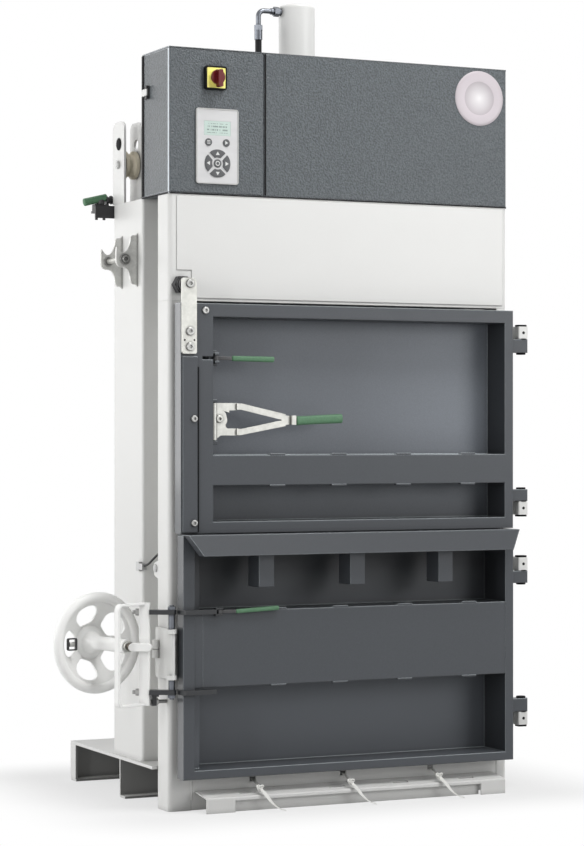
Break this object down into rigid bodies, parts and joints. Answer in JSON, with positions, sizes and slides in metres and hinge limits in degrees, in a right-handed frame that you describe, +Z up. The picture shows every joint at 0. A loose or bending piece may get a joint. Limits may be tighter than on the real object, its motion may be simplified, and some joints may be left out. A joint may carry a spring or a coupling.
{
  "type": "recycling baler",
  "caption": "Upright recycling baler: hydraulic press on top, filling door, bale door with a handwheel lock, and strapped bales.",
  "frame": {"origin": "on the floor under the press cylinder's axis, on the bottom flange of the base's middle channel", "axes": "+Z up along the ram; +X to the right seen from the doors; the doors face -Y"},
  "size_m": [1.3184, 0.803, 2.163],
  "materials": {
    "white_paint": "smooth satin powder coat",
    "hood_paint": "blue-grey structured powder coat",
    "door_paint": "dark grey fine powder coat",
    "tank_paint": "dark grey enamel",
    "zinc_plate": "bright zinc plating",
    "bright_steel": "ground and chromed",
    "green_plastic": "soft dipped grip",
    "black_plastic": "moulded, slightly rough",
    "yellow_plastic": "moulded",
    "red_plastic": "moulded",
    "panel_plastic": "light grey bezel",
    "keypad_film": "printed keypad film",
    "display_window": "pale green display",
    "roller_plastic": "turned beige plastic",
    "hose_rubber": "smooth hydraulic hose",
    "sensor_metal": "die cast case",
    "reel_plastic": "moulded strap reel",
    "strap_fabric": "woven polyester strap"
  },
  "bodies": {
    "frame": {"base_plate": "white_paint", "base_channels": "white_paint", "front_frame": "white_paint", "header": "white_paint", "side_columns": "white_paint", "press_chamber": "white_paint", "rear_stiffeners": "white_paint", "top_crossbeam": "white_paint", "press_cylinder": "white_paint", "cylinder_bolts": "zinc_plate", "pressure_line": "bright_steel", "pressure_hose": "hose_rubber", "oil_tank": "tank_paint", "pump_motor": "tank_paint", "hood_cover": "hood_paint", "hood_shell": "hood_paint", "frame_hinge_blocks": "white_paint", "hinge_pins": "black_plastic", "safety_switch": "black_plastic", "lock_bracket": "white_paint", "lock_pivot_bolts": "zinc_plate", "cable_rack": "zinc_plate", "roller_stand": "white_paint", "clamp_bracket": "black_plastic", "door_sensor": "sensor_metal", "discharge_flap": "white_paint", "ejector_pin": "zinc_plate", "reel_stand": "white_paint", "left_strap": "strap_fabric", "middle_strap": "strap_fabric", "right_strap": "strap_fabric"},
    "ram": {"piston_rod": "bright_steel", "ram_plate": "white_paint"},
    "cabinet_door": {"cabinet_door": "hood_paint", "control_panel": "panel_plastic", "keypad_film": "keypad_film", "display": "display_window", "switch_plate": "yellow_plastic", "latch_seat": "black_plastic"},
    "switch_knob": {"switch_knob": "red_plastic"},
    "hood_latch": {"latch_lever": "white_paint"},
    "upper_door": {"upper_door": "door_paint", "safety_bar": "zinc_plate", "door_screws": "zinc_plate"},
    "fork_handle": {"fork_handle": "zinc_plate", "fork_handle_grip": "green_plastic"},
    "upper_hand_lever": {"upper_hand_lever": "zinc_plate"},
    "lower_door": {"lower_door": "door_paint", "deflector_lip": "door_paint", "lock_lugs": "door_paint"},
    "lower_hand_lever": {"lower_hand_lever": "zinc_plate"},
    "lock_frame": {"lock_bow": "white_paint", "lock_levers": "door_paint", "lock_studs": "zinc_plate"},
    "wheel_carriage": {"thrust_collar": "zinc_plate"},
    "handwheel": {"handwheel": "white_paint"},
    "roller": {"ejector_roller": "roller_plastic"},
    "clamp_lever": {"clamp_lever": "zinc_plate"},
    "ejector": {"ejector_plate": "white_paint"},
    "strap_reels": {"strap_reels": "reel_plastic"}
  },
  "joints": [
    {"name": "ram_slide", "type": "slide", "parent": "frame", "child": "ram", "axis": [0, 0, 1], "range_m": [-0.65, 0]},
    {"name": "upper_door_hinge", "type": "hinge", "parent": "frame", "child": "upper_door", "pos_m": [0.535, -0.311, 1.01], "axis": [0, 0, 1], "range_deg": [0, 115]},
    {"name": "lower_door_hinge", "type": "hinge", "parent": "frame", "child": "lower_door", "pos_m": [0.535, -0.311, 0.4], "axis": [0, 0, 1], "range_deg": [0, 115]},
    {"name": "cabinet_door_hinge", "type": "hinge", "parent": "frame", "child": "cabinet_door", "pos_m": [-0.2355, -0.2825, 1.79], "axis": [0, 0, 1], "range_deg": [0, 100]},
    {"name": "switch_knob_turn", "type": "hinge", "parent": "cabinet_door", "child": "switch_knob", "pos_m": [-0.373, -0.306, 1.9045], "axis": [0, 1, 0], "range_deg": [0, 90]},
    {"name": "hood_latch_hinge", "type": "hinge", "parent": "cabinet_door", "child": "hood_latch", "pos_m": [-0.51, -0.151, 1.876], "axis": [0, 0, 1], "range_deg": [0, 80]},
    {"name": "fork_handle_hinge", "type": "hinge", "parent": "upper_door", "child": "fork_handle", "pos_m": [-0.391, -0.32, 1.013], "axis": [0, 0, 1], "range_deg": [-60, 0]},
    {"name": "upper_lever_hinge", "type": "hinge", "parent": "upper_door", "child": "upper_hand_lever", "pos_m": [-0.388, -0.328, 1.173], "axis": [0, 0, 1], "range_deg": [-60, 0]},
    {"name": "lower_lever_hinge", "type": "hinge", "parent": "lower_door", "child": "lower_hand_lever", "pos_m": [-0.39, -0.356, 0.519], "axis": [0, 0, 1], "range_deg": [-60, 0]},
    {"name": "lock_swing", "type": "hinge", "parent": "frame", "child": "lock_frame", "pos_m": [-0.51, -0.321, 0.43], "axis": [0, 0, 1], "range_deg": [0, 70]},
    {"name": "wheel_travel", "type": "slide", "parent": "lock_frame", "child": "wheel_carriage", "axis": [-0.2096, 0.9778, 0], "range_m": [0, 0.02]},
    {"name": "handwheel_turn", "type": "hinge", "parent": "wheel_carriage", "child": "handwheel", "pos_m": [-0.64644, -0.08271, 0.43], "axis": [-0.2096, 0.9778, 0], "range_deg": [0, 1800]},
    {"name": "roller_turn", "type": "hinge", "parent": "frame", "child": "roller", "pos_m": [-0.476, 0.064, 1.706], "axis": [1, 0, 0], "continuous": true},
    {"name": "clamp_lever_turn", "type": "hinge", "parent": "frame", "child": "clamp_lever", "pos_m": [-0.534, 0.123, 1.608], "axis": [0, 0, 1], "range_deg": [0, 60]},
    {"name": "ejector_hinge", "type": "hinge", "parent": "frame", "child": "ejector", "pos_m": [0, -0.194, 0.1215], "axis": [1, 0, 0], "range_deg": [0, 50]},
    {"name": "strap_reels_turn", "type": "hinge", "parent": "frame", "child": "strap_reels", "pos_m": [0, 0.304, 0.47], "axis": [1, 0, 0], "continuous": true}
  ],
  "couplings": [
    {"joint": "wheel_travel", "follows": "handwheel_turn", "m_per_rad": 0.00063662}
  ]
}
